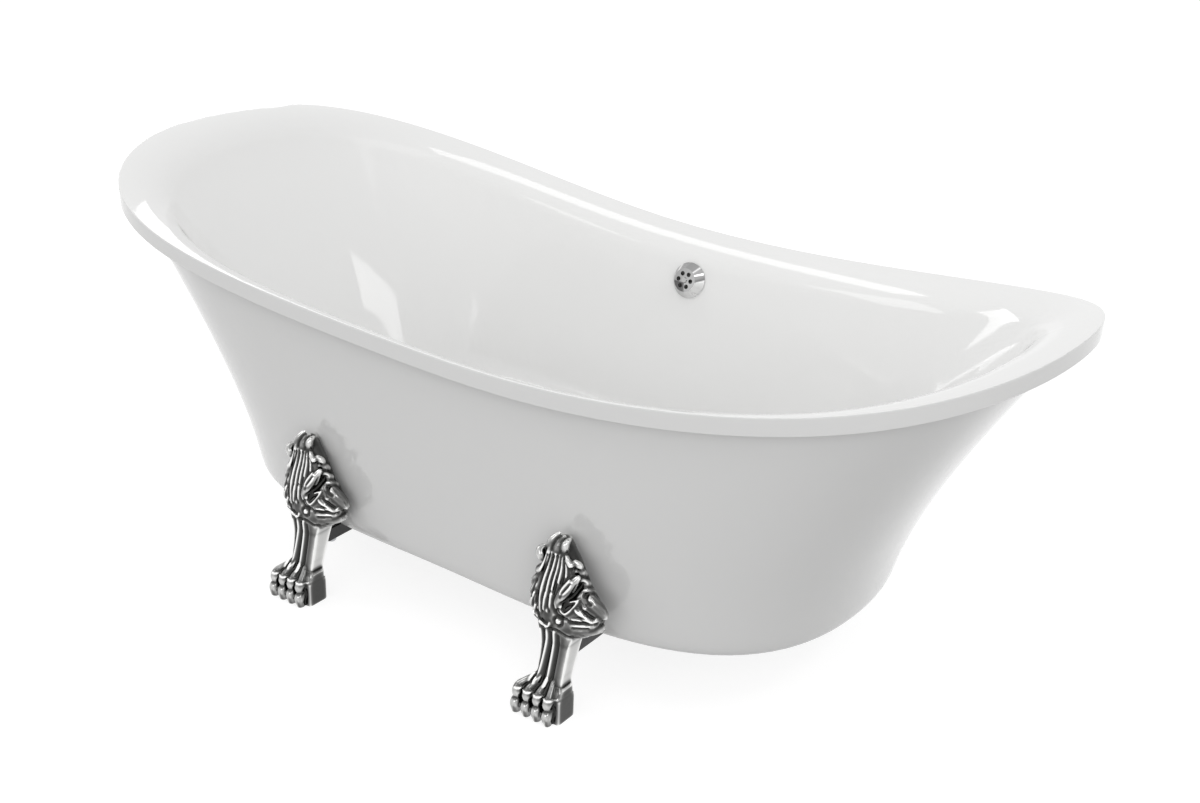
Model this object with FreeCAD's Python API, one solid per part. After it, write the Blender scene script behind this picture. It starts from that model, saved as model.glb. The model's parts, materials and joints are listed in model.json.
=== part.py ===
import FreeCAD, Part
import math
import os

# A free-standing double-ended slipper bath on four cast lion-paw feet.
# +X runs along the bath to its right-hand end, +Y runs away from the long side that is seen
# first, and +Z is up. The origin is on the floor, under the middle of the bath.
# All sizes are in millimetres.

Vector = FreeCAD.Vector
UP = (0, 0, 1)
DOWN = (0, 0, -1)

# ---------------------------------------------------------------- driving dimensions

# Plan and height of the rim. A pull near 1.3 makes an end blunt, and near 0.8 it is round.
LENGTH = 1700.0
WIDTH = 758.0
END_HEIGHT = 642.0
MIDDLE_HEIGHT = 513.0
LOW_POINT = 70.0
RISE_SQUARE = 0.99
RISE_FOURTH = -0.41
LEFT_END_PULL = 1.35
RIGHT_END_PULL = 1.00
SIDE_PULL = 0.46

# Rim band, and the roll from its top edge down into the basin's wall
BAND_HEIGHT = 27.0
BAND_THICKNESS = 5.0
ROLL_INSET_END = 92.0
ROLL_INSET_SIDE = 66.0
ROLL_DROP = 56.0

# Steps of the roll: share of its inset, share of its drop, and its lean in degrees
ROLL_STEPS = ((0.92, 0.76, 62.0), (0.78, 0.53, 50.0), (0.60, 0.335, 40.0), (0.42, 0.195, 31.0),
              (0.25, 0.098, 25.0), (0.12, 0.040, 20.0))

# Skirt
SKIRT_THICKNESS = 5.0
SKIRT_INSET = 25.0
LIP_DROP = 23.0
BASE_HALF_LENGTH = 587.0
BASE_HALF_WIDTH = 325.0
BASE_END_PULL = 1.13
BASE_SIDE_PULL = 0.42
BASE_HEIGHT = 114.0
BASE_EDGE = 16.0
SKIRT_END_CURVE = 1.35
SKIRT_SIDE_CURVE = 1.35

# Basin
SHELL_THICKNESS = 7.0
FLOOR_HEIGHT = 176.0
FLOOR_HALF_LENGTH = 500.0
FLOOR_HALF_WIDTH = 226.0
FLOOR_FILLET = 95.0

# Timber between the shells
BOARD_THICKNESS = 18.0
BOARD_HALF_LENGTH = 400.0
BOARD_HALF_WIDTH = 120.0
BATTEN_WIDTH = 70.0
BATTEN_HALF_LENGTH = 250.0

# Feet, brackets and their fastenings
FOOT_X = 258.0
FOOT_Y = 385.0
CASTING_WALL = 9.0
BRACKET_OFFSET = 10.0
BRACKET_WIDTH = 40.0
BRACKET_DEPTH = 21.0
BRACKET_WEB = 6.0
BRACKET_SIDE = 4.0
BRACKET_START = 42.0
BRACKET_LENGTH = 153.0
STUD_RADIUS = 5.0
STUD_REACH = 68.0
SCREW_RADIUS = 2.5
SCREW_REACHES = (150.0, 180.0)
SCREW_GRIP = 24.0
LEVELLER_RADIUS = 5.0
LEVELLER_LENGTH = 34.0
SLIDING_GAP = 0.05
FITTING_GAP = 0.3

# Waste and overflow
DRAIN_X = 38.0
WASTE_HOLE_RADIUS = 26.0
SKIRT_HOLE_RADIUS = 48.0
FLANGE_RADIUS = 35.0
FLANGE_THICKNESS = 3.5
SEAL_THICKNESS = 1.5
BARREL_RADIUS = 24.0
BARREL_BORE = 20.5
BARREL_BOTTOM = 150.0
TAIL_RADIUS = 19.05
TAIL_END = 58.0
TAIL_LENGTH = 56.0
TAIL_COLLAR_RADIUS = 20.5
PIPE_RADIUS = 15.0
PIPE_WALL = 2.5
PIPE_HEIGHT = 136.5
PLUG_RADIUS = 29.0
PLUG_TRAVEL = 8.0
STEM_RADIUS = 4.0
OVERFLOW_HEIGHT = 438.0
OVERFLOW_HOLE_RADIUS = 24.0
ROSE_BASE_RADIUS = 32.0
ROSE_FACE_RADIUS = 21.0
ROSE_HEIGHT = 16.0

# ---------------------------------------------------------------- shape helpers

AROUND = 64


def quarter_point(half_length, half_width, end_pull, side_pull, t):
    """A point on a quarter oval: its end at t = 0, its side at t = 1."""
    s = 1.0 - t
    x = half_length * (s ** 3 + 3 * t * s * s + 3 * side_pull * t * t * s)
    y = half_width * (3 * end_pull * t * s * s + 3 * t * t * s + t ** 3)
    return x, y


def oval(half_length, half_width, right_pull, left_pull, side_pull, height):
    """A closed ring of points. height is a function of the reach: -1 left end, 1 right end."""
    points = []
    quarter = AROUND // 4
    for number in range(AROUND):
        turn, step = divmod(number, quarter)
        t = step / quarter
        if turn % 2:
            t = 1.0 - t
        sign_x = (1, -1, -1, 1)[turn]
        sign_y = (1, 1, -1, -1)[turn]
        pull = right_pull if sign_x > 0 else left_pull
        x, y = quarter_point(half_length, half_width, pull, side_pull, t)
        points.append(Vector(sign_x * x, sign_y * y, height(sign_x * x / half_length)))
    return points


def rim_height(reach):
    """Height of the rim's top: low near the middle, high at both ends."""
    shift = LOW_POINT / (LENGTH / 2) * (1 - reach * reach) ** 2
    square = (reach - shift) ** 2
    sixth = 1 - RISE_SQUARE - RISE_FOURTH
    share = RISE_SQUARE * square + RISE_FOURTH * square ** 2 + sixth * square ** 3
    return MIDDLE_HEIGHT + (END_HEIGHT - MIDDLE_HEIGHT) * share


def rim_ring(inset_end, inset_side, drop):
    """A ring that follows the rim, drawn in by the insets and lowered by drop."""
    return oval(LENGTH / 2 - inset_end, WIDTH / 2 - inset_side, RIGHT_END_PULL, LEFT_END_PULL,
                SIDE_PULL, lambda reach: rim_height(reach) - drop)


def flat_ring(half_length, half_width, height):
    """A level ring with the plan of the skirt's base."""
    return oval(half_length, half_width, BASE_END_PULL, BASE_END_PULL, BASE_SIDE_PULL,
                lambda reach: height)


def blend(lower, upper, rise, end_curve, side_curve):
    """A ring between two rings. A curve of 1 is a straight wall, and more is hollow outside."""
    ring = []
    for number, (low, high) in enumerate(zip(lower, upper)):
        end_share = math.cos(2 * math.pi * number / AROUND) ** 2
        out = rise ** (side_curve + (end_curve - side_curve) * end_share)
        ring.append(Vector(low.x + (high.x - low.x) * out, low.y + (high.y - low.y) * out,
                           low.z + (high.z - low.z) * rise))
    return ring


def through_points(ring):
    """Moves a ring's points outwards, so that a curve they control passes close to the ring."""
    count = len(ring)
    return [ring[i] - (ring[i - 1] + ring[(i + 1) % count] - ring[i] * 2) * (1 / 6)
            for i in range(count)]


def skin(rings, degree=3):
    """A smooth closed band through a stack of rings."""
    rows = [through_points(ring) for ring in rings]
    count = len(rows[0])
    poles = [[row[i] for row in rows] for i in range(count)]
    spans = len(rows) - degree
    surface = Part.BSplineSurface()
    surface.buildFromPolesMultsKnots(
        poles, [1] * (count + 1), [degree + 1] + [1] * (spans - 1) + [degree + 1],
        list(range(count + 1)), list(range(spans + 1)), True, False, 3, degree)
    return surface


def cap(surface, at_start):
    """The flat face that closes one end of a skin."""
    low, high = surface.bounds()[2:]
    edge = surface.vIso(low if at_start else high).toShape()
    return Part.Face(Part.Wire([edge]))


def solid_from(faces):
    """One closed solid, sewn from faces that meet at their edges."""
    joined = Part.makeCompound(faces)
    joined.sewShape()
    solid = Part.Solid(Part.Shell(joined.Faces))
    if solid.Volume < 0:
        solid.reverse()
    return solid


def stack(rings):
    """A solid through a stack of rings whose first and last rings are flat."""
    surface = skin(rings)
    return solid_from([surface.toShape(), cap(surface, True), cap(surface, False)])


def box(low, high):
    """A box from its lowest corner to its highest."""
    size = [b - a for a, b in zip(low, high)]
    return Part.makeBox(size[0], size[1], size[2], Vector(*low))


def rod(radius, start, direction, length):
    """A round bar."""
    return Part.makeCylinder(radius, length, Vector(*start), Vector(*direction))


def tube(outer, inner, start, direction, length):
    """A round tube."""
    return rod(outer, start, direction, length).cut(rod(inner, start, direction, length))


def cone(radius, end_radius, start, direction, length):
    """A round taper."""
    return Part.makeCone(radius, end_radius, length, Vector(*start), Vector(*direction))


def hexagon(across_flats, start, direction, length):
    """A six-sided bar."""
    corner = across_flats / math.sqrt(3)
    angles = [math.radians(60 * i) for i in range(7)]
    outline = Part.makePolygon([Vector(corner * math.cos(a), corner * math.sin(a), 0) for a in angles])
    bar = Part.Face(outline).extrude(Vector(0, 0, length))
    turn = FreeCAD.Rotation(Vector(0, 0, 1), Vector(*direction))
    bar.Placement = FreeCAD.Placement(Vector(*start), turn)
    return bar


def fused(first, *others):
    """One solid from several that overlap."""
    return first.fuse(list(others)).removeSplitter()


# ---------------------------------------------------------------- the acrylic shells

SKIRT_STEPS = 8
WALL_STEPS = 6


def skirt_rings(draw_in, lift, top_drop):
    """Rings of the skirt's face from the flat of its bottom to its top, drawn in by draw_in."""
    half_length = BASE_HALF_LENGTH - draw_in
    half_width = BASE_HALF_WIDTH - draw_in
    bottom = BASE_HEIGHT + lift
    rings = []
    for inward, rise in ((2.0, 0.0), (1.2, 0.0), (0.35, 0.06)):
        inset = inward * BASE_EDGE
        rings.append(flat_ring(half_length - inset, half_width - inset, bottom + rise * BASE_EDGE))
    lower = flat_ring(half_length, half_width, bottom + 0.9 * BASE_EDGE)
    inset = SKIRT_INSET + draw_in
    upper = rim_ring(inset, inset, BAND_HEIGHT)
    for step in range(SKIRT_STEPS + 1):
        rings.append(blend(lower, upper, step / SKIRT_STEPS, SKIRT_END_CURVE, SKIRT_SIDE_CURVE))
    rings.append(rim_ring(inset, inset, top_drop))
    return rings


def bracket_screw_places():
    """Where screws go up through the brackets and the skirt's bottom into the battens."""
    places = []
    for side in (-1, 1):
        for end in (-1, 1):
            x = end * FOOT_X - side * BRACKET_OFFSET
            places += [(x, side * (FOOT_Y - reach)) for reach in SCREW_REACHES]
    return places


def make_outer_shell():
    """The skirt: one moulding, open at the top, with a flat bottom."""
    outside = skin(skirt_rings(0.0, 0.0, LIP_DROP))
    inside = skin(skirt_rings(SKIRT_THICKNESS, SKIRT_THICKNESS, LIP_DROP))
    edge = SKIRT_INSET + SKIRT_THICKNESS
    lip = skin([rim_ring(SKIRT_INSET, SKIRT_INSET, LIP_DROP), rim_ring(edge, edge, LIP_DROP)], 1)
    shell = solid_from([outside.toShape(), inside.toShape(), lip.toShape(),
                        cap(outside, True), cap(inside, True)])
    below = BASE_HEIGHT - SKIRT_THICKNESS
    holes = [rod(SKIRT_HOLE_RADIUS, (DRAIN_X, 0, below), UP, 3 * SKIRT_THICKNESS)]
    for x, y in bracket_screw_places():
        holes.append(rod(SCREW_RADIUS + FITTING_GAP, (x, y, below), UP, 3 * SKIRT_THICKNESS))
    return shell.cut(holes)


def skirt_filled(grow):
    """The skirt's outer shape as a full body, grown all round, to cut what lies against it."""
    rings = skirt_rings(-grow, -grow, BAND_HEIGHT - 8.0)
    for height in (END_HEIGHT + 60.0, END_HEIGHT + 80.0):
        rings.append(flat_ring(LENGTH / 2, WIDTH / 2, height))
    return stack(rings)


def wall_rings(grow):
    """Rings of the basin from the flat of its floor up to the roll, grown by grow."""
    level = FLOOR_HEIGHT - grow
    rings = []
    for share in (1.0, 0.5):
        inset = share * FLOOR_FILLET - grow
        rings.append(flat_ring(FLOOR_HALF_LENGTH - inset, FLOOR_HALF_WIDTH - inset, level))
    lower = flat_ring(FLOOR_HALF_LENGTH + grow, FLOOR_HALF_WIDTH + grow, level)
    upper = rim_ring(ROLL_INSET_END - grow, ROLL_INSET_SIDE - grow, ROLL_DROP)
    for step in range(WALL_STEPS + 1):
        rings.append(blend(lower, upper, step / WALL_STEPS, 1.12, 1.0))
    return rings


def roll_rings(steps, depth):
    """Rings of the roll, from the wall outwards, at a depth behind the face that is seen."""
    rings = []
    for across, down, lean in steps:
        outward = depth * math.sin(math.radians(lean))
        lower = depth * math.cos(math.radians(lean))
        rings.append(rim_ring(across * ROLL_INSET_END - outward, across * ROLL_INSET_SIDE - outward,
                              down * ROLL_DROP + lower))
    return rings


def basin_face():
    """The face that is seen: floor, wall, roll and the outside of the band."""
    rings = wall_rings(0.0) + roll_rings(ROLL_STEPS, 0.0)
    for inset, drop in ((3.0, 0.7), (1.2, 0.2), (0.0, 0.8), (0.0, 3.0), (0.0, 10.0), (0.0, 18.0),
                        (0.0, BAND_HEIGHT)):
        rings.append(rim_ring(inset, inset, drop))
    return skin(rings)


def basin_back():
    """The face behind: the underside of floor, wall and roll, and the inside of the band."""
    rings = wall_rings(SHELL_THICKNESS) + roll_rings(ROLL_STEPS[:-1], SHELL_THICKNESS)
    band = BAND_THICKNESS
    for inset, drop in ((band + 4.0, 10.0), (band + 0.8, 9.5), (band, 11.0), (band, 16.0), (band, 21.0),
                        (band, BAND_HEIGHT)):
        rings.append(rim_ring(inset, inset, drop))
    return skin(rings)


def overflow_seat():
    """The point on the basin's far wall where the overflow sits, and the direction into the bath."""
    surface = basin_face()
    level = Part.makeLine(Vector(DRAIN_X, 0, OVERFLOW_HEIGHT),
                          Vector(DRAIN_X, WIDTH / 2 - 20, OVERFLOW_HEIGHT))
    place = level.distToShape(surface.toShape())[1][0][0]
    normal = surface.normal(*surface.parameter(place))
    if normal.y > 0:
        normal = normal * -1
    normal.x = 0
    return place, normal.normalize()


def make_basin_shell():
    """The basin: floor, walls, rolled rim and the upright band round its edge."""
    face = basin_face()
    back = basin_back()
    edge = skin([rim_ring(0.0, 0.0, BAND_HEIGHT),
                 rim_ring(BAND_THICKNESS, BAND_THICKNESS, BAND_HEIGHT)], 1)
    shell = solid_from([face.toShape(), back.toShape(), edge.toShape(), cap(face, True), cap(back, True)])
    place, inward = overflow_seat()
    holes = [rod(WASTE_HOLE_RADIUS, (DRAIN_X, 0, FLOOR_HEIGHT - 30), UP, 60),
             rod(OVERFLOW_HOLE_RADIUS, place - inward * 25, inward, 50)]
    return shell.cut(holes)


# ---------------------------------------------------------------- timber and steel under the basin

BATTEN_BOTTOM = BASE_HEIGHT + SKIRT_THICKNESS
BOARD_TOP = FLOOR_HEIGHT - SHELL_THICKNESS
BATTEN_TOP = BOARD_TOP - BOARD_THICKNESS
WEB_BOTTOM = BASE_HEIGHT - BRACKET_WEB
BRACKET_BOTTOM = BASE_HEIGHT - BRACKET_DEPTH
LUG_HALF = BRACKET_WIDTH / 2 - BRACKET_SIDE


def make_base_board():
    """The board under the basin's floor, with a slot for the waste and the overflow pipe."""
    board = box((-BOARD_HALF_LENGTH, -BOARD_HALF_WIDTH, BATTEN_TOP),
                (BOARD_HALF_LENGTH, BOARD_HALF_WIDTH, BOARD_TOP))
    corners = [e for e in board.Edges if e.BoundBox.ZLength > BOARD_THICKNESS / 2]
    slot = SKIRT_HOLE_RADIUS
    return board.makeFillet(30.0, corners).cut([
        rod(slot, (DRAIN_X, 0, BATTEN_TOP), UP, BOARD_THICKNESS),
        box((DRAIN_X - slot, 0, BATTEN_TOP), (DRAIN_X + slot, BOARD_HALF_WIDTH, BOARD_TOP))])


def make_batten(end):
    """A timber across the bath, between the skirt's bottom and the base board."""
    half = BATTEN_WIDTH / 2
    batten = box((end * FOOT_X - half, -BATTEN_HALF_LENGTH, BATTEN_BOTTOM),
                 (end * FOOT_X + half, BATTEN_HALF_LENGTH, BATTEN_TOP))
    pilot = SCREW_RADIUS
    holes = [rod(pilot, (x, y, BATTEN_BOTTOM), UP, SCREW_GRIP) for x, y in bracket_screw_places()]
    holes += [rod(2.0, place, DOWN, 36.0) for place in board_screw_places()]
    return batten.cut(holes)


def board_screw_places():
    """Where screws go down through the board into the battens, four to each batten."""
    return [(end * FOOT_X + across, y, BOARD_TOP)
            for end in (-1, 1) for across in (-20, 20) for y in (-80, 80)]


def make_board_screws():
    """Countersunk screws with their heads flush with the board."""
    return [fused(cone(4.0, 2.0, place, DOWN, 3.0), rod(2.0, place, DOWN, 36.0))
            for place in board_screw_places()]


def make_bracket():
    """A folded steel channel, open below and at the leg's end, in the foot's frame."""
    left = BRACKET_OFFSET - BRACKET_WIDTH / 2
    right = BRACKET_OFFSET + BRACKET_WIDTH / 2
    end = BRACKET_START + BRACKET_LENGTH
    channel = box((left, BRACKET_START, BRACKET_BOTTOM), (right, end, BASE_HEIGHT))
    hollow = box((left + BRACKET_SIDE, BRACKET_START, BRACKET_BOTTOM),
                 (right - BRACKET_SIDE, end, WEB_BOTTOM))
    holes = [rod(STUD_RADIUS, (BRACKET_OFFSET, STUD_REACH, WEB_BOTTOM), UP, BRACKET_WEB)]
    for reach in SCREW_REACHES:
        holes.append(rod(SCREW_RADIUS + FITTING_GAP, (BRACKET_OFFSET, reach, WEB_BOTTOM), UP, BRACKET_WEB))
    return channel.cut([hollow] + holes)


def make_bracket_screws():
    """Pan-head screws up through the brackets and the skirt's bottom into the battens."""
    length = BATTEN_BOTTOM + SCREW_GRIP - WEB_BOTTOM
    return [fused(rod(5.0, (x, y, WEB_BOTTOM), DOWN, 3.0), rod(SCREW_RADIUS, (x, y, WEB_BOTTOM), UP, length))
            for x, y in bracket_screw_places()]


# ---------------------------------------------------------------- the claw feet

# A foot is made in its own frame: its paw's middle is at x = 0, y = 0, its toes point to -y and
# the bath is on its +y side. Each line is a level section: height, left, right, front, back.
LEG_SECTIONS = (
    (24, -16, 40, -20, 18), (40, -14, 40, -19, 18), (56, -11, 38, -14, 20), (76, -9, 38, -8, 27),
    (96, -8, 39, -4, 34), (112, -9, 40, -1, 39), (126, -11, 42, 1, 44), (140, -18, 50, -1, 52),
    (152, -22, 54, -2, 60), (160, -24, 56, -2, 62))
LEAF_SECTIONS = (
    (137, -16, 58, 6, 66), (143, -28, 70, 0, 68), (152, -38, 82, -5, 70), (164, -46, 89, -6, 70),
    (178, -48, 90, -5, 70), (192, -47, 85, -4, 70), (208, -44, 76, -2, 70), (224, -41, 64, 1, 70),
    (240, -37, 52, 5, 70), (254, -31, 40, 9, 70), (268, -23, 28, 12, 70), (280, -15, 16, 15, 70),
    (288, -10, 9, 19, 70))
SECTION_POINTS = 28
TOE_PLACES = (-28.0, -9.5, 9.5, 28.0)

# A toe from the instep over its knuckle to its claw: how far forward, how high, radius
TOE_PATH = ((-2, 34, 9.0), (12, 35, 10.0), (22, 30, 10.5), (28, 20, 10.0), (29, 10, 9.0), (28, 2, 8.5),
            (28, -6, 8.0))
BUD_PATH = ((-40, 268, 7.0), (-33, 277, 9.0), (-27, 283, 8.5), (-22, 283, 6.0), (-19, 279, 4.0))
CURL_PATH = ((-38, 226, 8.0), (-27, 236, 9.0), (-19, 244, 7.0), (-15, 243, 4.0))
HEEL_LOW = (-36, -22, 0)
HEEL_HIGH = (42, 20, 40)
PAW_RECESS_RADIUS = 13.0
PAW_RECESS_DEPTH = 7.0
PAD_RADIUS = 11.0
LEVELLER_X = 5.0


def level_section(section, squareness, ridges, ridge_height):
    """A ring round a level section, bulging between its four sides, with upright ridges."""
    height, left, right, front, back = section
    ring = []
    for number in range(SECTION_POINTS):
        angle = 2 * math.pi * number / SECTION_POINTS
        cosine = math.cos(angle)
        sine = math.sin(angle)
        swell = 1 + ridge_height * math.cos(ridges * angle)
        x = math.copysign(abs(cosine) ** squareness, cosine) * swell
        y = math.copysign(abs(sine) ** squareness, sine) * swell
        ring.append(Vector((left + right) / 2 + (right - left) / 2 * x,
                           (front + back) / 2 + (back - front) / 2 * y, height))
    return ring


def limb(across, path):
    """A round member that runs forward and up or down: each step is forward, height, radius."""
    rings = []
    for number, (forward, height, radius) in enumerate(path):
        before = path[max(number - 1, 0)]
        after = path[min(number + 1, len(path) - 1)]
        along = Vector(0, before[0] - after[0], after[1] - before[1]).normalize()
        level = Vector(1, 0, 0)
        square = level.cross(along)
        middle = Vector(across, -forward, height)
        angles = [2 * math.pi * i / 12 for i in range(12)]
        rings.append([middle + level * (radius * math.cos(a)) + square * (radius * math.sin(a))
                      for a in angles])
    return stack(rings)


def foot_blank():
    """The casting before it is fitted: paw, leg, lug and hollow-backed leaf."""
    leg = stack([level_section(section, 0.8, 6, 0.02) for section in LEG_SECTIONS])
    leaf = stack([level_section(section, 0.85, 9, 0.03) for section in LEAF_SECTIONS])
    heel = box(HEEL_LOW, HEEL_HIGH)
    heel = heel.makeFillet(5.0, [e for e in heel.Edges if e.BoundBox.ZLength > 20])
    lug = box((BRACKET_OFFSET - LUG_HALF, 20, BRACKET_BOTTOM),
              (BRACKET_OFFSET + LUG_HALF, STUD_REACH + 14, WEB_BOTTOM))
    toes = [limb(across, TOE_PATH) for across in TOE_PLACES]
    foot = leg.fuse([leaf, heel, lug, limb(-1, BUD_PATH), limb(-33, CURL_PATH)] + toes)
    inner = [(height, left + CASTING_WALL, right - CASTING_WALL, front + CASTING_WALL, back + 20)
             for height, left, right, front, back in LEAF_SECTIONS[2:-2]]
    hollow = stack([level_section(section, 0.85, 9, 0) for section in inner])
    below = box((-200, -200, -60), (200, 200, 0))
    stud_hole = rod(STUD_RADIUS, (BRACKET_OFFSET, STUD_REACH, BRACKET_BOTTOM), UP, BRACKET_DEPTH)
    bore = rod(LEVELLER_RADIUS + SLIDING_GAP, (LEVELLER_X, 0, 0), UP, LEVELLER_LENGTH + 8)
    recess = rod(PAW_RECESS_RADIUS, (LEVELLER_X, 0, 0), UP, PAW_RECESS_DEPTH)
    return foot.cut([below, hollow, stud_hole, bore, recess])


def placed(shape, side, end):
    """A copy of a shape from the foot's frame: side -1 is the near side, end -1 the left end."""
    turn = FreeCAD.Rotation(Vector(0, 0, 1), 0 if side < 0 else 180)
    frame = FreeCAD.Placement(Vector(end * FOOT_X, side * FOOT_Y, 0), turn)
    copy = shape.copy()
    copy.Placement = frame.multiply(copy.Placement)
    return copy


def foot_stud():
    """The stud through the foot's lug and the bracket's web."""
    return rod(STUD_RADIUS, (BRACKET_OFFSET, STUD_REACH, BRACKET_BOTTOM - 12), UP, BRACKET_DEPTH + 12)


def foot_washer():
    """The washer under the lug."""
    return tube(11.0, STUD_RADIUS, (BRACKET_OFFSET, STUD_REACH, BRACKET_BOTTOM), DOWN, 2.0)


def foot_nut():
    """The domed nut on the stud, which shows behind the leg."""
    start = (BRACKET_OFFSET, STUD_REACH, BRACKET_BOTTOM - 2)
    dome = Part.makeSphere(8.0, Vector(BRACKET_OFFSET, STUD_REACH, BRACKET_BOTTOM - 10))
    return fused(hexagon(17.0, start, DOWN, 8.0), dome).cut(rod(STUD_RADIUS, start, DOWN, 10.0))


def leveller():
    """A levelling screw with its pad, drawn up inside the paw."""
    start = (LEVELLER_X, 0, 1.0)
    return fused(rod(PAD_RADIUS, start, UP, 4.0), rod(LEVELLER_RADIUS, start, UP, LEVELLER_LENGTH))


# ---------------------------------------------------------------- the waste

SEAL_TOP = FLOOR_HEIGHT + SEAL_THICKNESS
FLANGE_TOP = SEAL_TOP + FLANGE_THICKNESS
SEAT_DEPTH = 5.5
SEAT_RADIUS = BARREL_BORE + SEAT_DEPTH
NUT_TOP = BOARD_TOP - 5.0
TEE_TOP = NUT_TOP - 7.5
TEE_BOTTOM = TAIL_END + TAIL_LENGTH - 14.0
STRAINER_BOTTOM = BARREL_BOTTOM + 2.0
STRAINER_DEPTH = 16.0
CAP_BOTTOM = FLANGE_TOP + PLUG_TRAVEL
HUB_RADIUS = 14.0
HUB_DEPTH = 5.0


def at_waste(height):
    """A point on the waste's axis."""
    return (DRAIN_X, 0, height)


def top_edges(shape, height):
    """The edges of a shape that lie level at one height."""
    return [e for e in shape.Edges if abs(e.BoundBox.ZMin - height) + abs(e.BoundBox.ZMax - height) < 0.01]


def make_waste_flange():
    """The flange with its threaded barrel and a tapered seat for the plug."""
    flange = rod(FLANGE_RADIUS, at_waste(SEAL_TOP), UP, FLANGE_THICKNESS)
    flange = flange.makeFillet(2.5, top_edges(flange, FLANGE_TOP))
    barrel = rod(BARREL_RADIUS, at_waste(BARREL_BOTTOM), UP, SEAL_TOP - BARREL_BOTTOM + 1)
    seat = cone(BARREL_BORE, SEAT_RADIUS, at_waste(FLANGE_TOP - SEAT_DEPTH), UP, SEAT_DEPTH)
    return fused(flange, barrel).cut([rod(BARREL_BORE, at_waste(BARREL_BOTTOM), UP, 60), seat])


def make_waste_strainer():
    """A hub held by four arms in the barrel. The plug's stem slides in it."""
    bottom = STRAINER_BOTTOM
    reach = BARREL_BORE - 1.0
    hub = rod(9.0, at_waste(bottom), UP, STRAINER_DEPTH)
    ring = tube(BARREL_BORE, BARREL_BORE - 2.5, at_waste(bottom), UP, 6.0)
    arms = [box((DRAIN_X - reach, -1.5, bottom), (DRAIN_X + reach, 1.5, bottom + 6)),
            box((DRAIN_X - 1.5, -reach, bottom), (DRAIN_X + 1.5, reach, bottom + 6))]
    bore = rod(STEM_RADIUS + SLIDING_GAP, at_waste(bottom), UP, STRAINER_DEPTH)
    return fused(hub, ring, *arms).cut(bore)


def make_waste_tee():
    """The tee under the floor that joins waste, overflow pipe and tailpiece."""
    across = (0, 1, 0)
    middle = at_waste(PIPE_HEIGHT)
    body = rod(30.0, at_waste(TEE_BOTTOM), UP, TEE_TOP - TEE_BOTTOM)
    branch = rod(PIPE_RADIUS + 3.0, middle, across, SKIRT_HOLE_RADIUS - 1.0)
    return fused(body, branch).cut([
        rod(BARREL_RADIUS, at_waste(BARREL_BOTTOM), UP, 20),
        rod(22.0, at_waste(PIPE_HEIGHT - 20), UP, 40),
        rod(TAIL_RADIUS - 2.0, at_waste(TEE_BOTTOM), UP, 40),
        rod(TAIL_COLLAR_RADIUS, at_waste(TEE_BOTTOM), UP, 14),
        rod(PIPE_RADIUS - PIPE_WALL, middle, across, 60.0),
        rod(PIPE_RADIUS, (DRAIN_X, 38.0, PIPE_HEIGHT), across, 60.0)])


def make_waste_parts():
    """Flange, strainer, seals, nuts, tee and tailpiece, from the floor down."""
    ring_nut = hexagon(62.0, at_waste(NUT_TOP), DOWN, 7.0)
    tail_nut = hexagon(50.0, at_waste(TEE_BOTTOM), DOWN, 10.0)
    tail = fused(rod(TAIL_RADIUS, at_waste(TAIL_END), UP, TAIL_LENGTH),
                 rod(TAIL_COLLAR_RADIUS, at_waste(TAIL_END + TAIL_LENGTH), DOWN, 24.0))
    return {
        "waste_flange": make_waste_flange(),
        "waste_seal_top": tube(33.0, WASTE_HOLE_RADIUS, at_waste(FLOOR_HEIGHT), UP, SEAL_THICKNESS),
        "waste_strainer": make_waste_strainer(),
        "waste_seal_bottom": tube(36.0, BARREL_RADIUS, at_waste(NUT_TOP), UP, BOARD_TOP - NUT_TOP),
        "waste_nut": ring_nut.cut(rod(BARREL_RADIUS, at_waste(NUT_TOP), DOWN, 7.0)),
        "waste_tee": make_waste_tee(),
        "tail_nut": tail_nut.cut(rod(TAIL_COLLAR_RADIUS, at_waste(TEE_BOTTOM), DOWN, 10.0)),
        "waste_tailpiece": tail.cut(rod(TAIL_RADIUS - 2.0, at_waste(TAIL_END), UP, TAIL_LENGTH)),
    }


def make_plug_parts():
    """The push-down plug in its raised place: cap, rubber ring and stem."""
    hub_bottom = CAP_BOTTOM - HUB_DEPTH
    stem_top = CAP_BOTTOM - 2.0
    stem_bottom = STRAINER_BOTTOM - 2.0
    dome = rod(PLUG_RADIUS, at_waste(CAP_BOTTOM), UP, 4.0)
    dome = dome.makeFillet(3.0, top_edges(dome, CAP_BOTTOM + 4.0))
    seal_depth = 3.0
    tight = 0.3
    outer = SEAT_RADIUS - tight
    seal = cone(outer - seal_depth, outer, at_waste(CAP_BOTTOM - seal_depth), UP, seal_depth)
    cap_piece = fused(dome, rod(HUB_RADIUS, at_waste(hub_bottom), UP, HUB_DEPTH))
    return {
        "plug_cap": cap_piece.cut(rod(STEM_RADIUS, at_waste(hub_bottom), UP, stem_top - hub_bottom)),
        "plug_seal": seal.cut(rod(HUB_RADIUS, at_waste(hub_bottom), UP, HUB_DEPTH)),
        "plug_stem": rod(STEM_RADIUS, at_waste(stem_bottom), UP, stem_top - stem_bottom),
    }


# ---------------------------------------------------------------- the overflow

BODY_START = SHELL_THICKNESS + 3.0
BODY_DEPTH = 18.0
BODY_RADIUS = 31.0
PIPE_TOP = (DRAIN_X, 321.0, 400.0)
PIPE_BEND = (DRAIN_X, 271.0, PIPE_HEIGHT)
BEND_RADIUS = 26.0


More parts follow.
